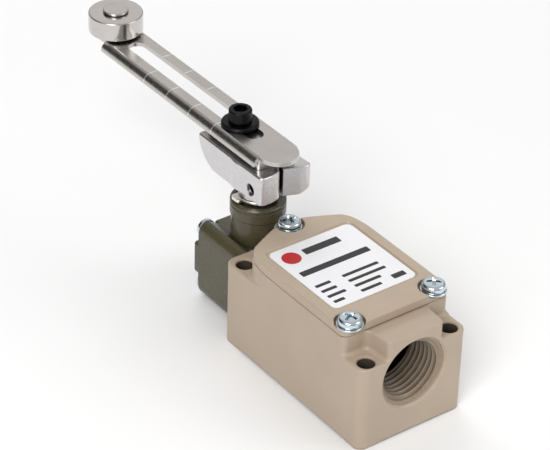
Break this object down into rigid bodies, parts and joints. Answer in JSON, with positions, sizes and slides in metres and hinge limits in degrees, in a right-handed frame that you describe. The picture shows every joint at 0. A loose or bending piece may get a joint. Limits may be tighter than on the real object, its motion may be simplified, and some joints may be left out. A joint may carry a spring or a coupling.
{
  "type": "limit switch",
  "caption": "Heavy-duty limit switch: die-cast box with conduit entry, side-rotary head and an adjustable slotted roller lever with spring return.",
  "frame": {"origin": "centre of the mounting-hole pattern, on the rear mounting face", "axes": "+Z out of the cover (away from the mounting surface), +Y toward the lever head, -Y out of the conduit entry"},
  "size_m": [0.0384, 0.1644, 0.0677],
  "materials": {
    "housing_paint": "semi-gloss beige enamel on die casting",
    "head_paint": "satin olive enamel on die casting",
    "gasket_rubber": "matte",
    "label_film": "satin printed film",
    "zinc_screw": "bright blue-white zinc plate",
    "clamp_metal": "tumbled nickel-plated casting",
    "arm_steel": "satin stainless sheet",
    "roller_steel": "turned and polished stainless",
    "black_oxide": "black oxide",
    "shaft_steel": "ground steel",
    "bearing_bronze": "sintered bronze",
    "phenolic": "brown phenolic moulding",
    "module_cover": "red moulded cover",
    "contact_brass": "bright brass and silver",
    "plunger_plastic": "acetal",
    "spring_steel": "drawn wire"
  },
  "bodies": {
    "housing": {"switch_box": "housing_paint", "cover": "housing_paint", "cover_gasket": "gasket_rubber", "nameplate": "label_film", "cover_screws": "zinc_screw", "head_casting": "head_paint", "head_gasket": "gasket_rubber", "head_screws": "zinc_screw", "shaft_bushing": "bearing_bronze", "shaft_seal": "gasket_rubber", "plunger_spring": "spring_steel", "plunger_bush": "bearing_bronze", "module_base": "phenolic", "module_lid": "module_cover", "module_screws": "zinc_screw", "no_contacts": "contact_brass", "nc_contacts": "contact_brass", "terminal_screws": "zinc_screw", "terminal_clamps": "contact_brass", "contact_spring": "spring_steel", "ground_screw": "zinc_screw"},
    "lever": {"rotary_shaft": "shaft_steel", "drive_cam": "shaft_steel", "position_indicator": "clamp_metal", "lever_clamp": "clamp_metal", "clamp_bolt": "black_oxide", "clamp_lock_washer": "shaft_steel", "arm_bolt": "black_oxide", "arm_washer": "black_oxide"},
    "arm": {"slotted_arm": "arm_steel", "roller_spacer": "shaft_steel", "roller_pin": "roller_steel"},
    "roller": {"roller": "roller_steel"},
    "drive_plunger": {"drive_plunger": "shaft_steel"},
    "contact_carrier": {"module_plunger": "plunger_plastic", "contact_bridge": "contact_brass"}
  },
  "joints": [
    {"name": "lever_swing", "type": "hinge", "parent": "housing", "child": "lever", "pos_m": [0, 0.0439, 0.05], "axis": [0, 0, 1], "range_deg": [-80, 80], "stiffness_Nm_per_rad": 0.15},
    {"name": "arm_adjust", "type": "slide", "parent": "lever", "child": "arm", "axis": [0, 1, 0], "range_m": [-0.0533, 0.007]},
    {"name": "roller_spin", "type": "hinge", "parent": "arm", "child": "roller", "pos_m": [0, 0.1225, 0.0635], "axis": [0, 0, 1], "continuous": true},
    {"name": "plunger_travel", "type": "slide", "parent": "housing", "child": "drive_plunger", "axis": [0, -1, 0], "range_m": [0, 0.0012], "stiffness_N_per_m": 600, "springref_m": -0.001, "deforming": ["plunger_spring"]},
    {"name": "contact_travel", "type": "slide", "parent": "housing", "child": "contact_carrier", "axis": [0, -1, 0], "range_m": [0, 0.0012], "deforming": ["contact_spring"]}
  ],
  "couplings": [
    {"joint": "contact_travel", "follows": "plunger_travel", "ratio": 1}
  ]
}
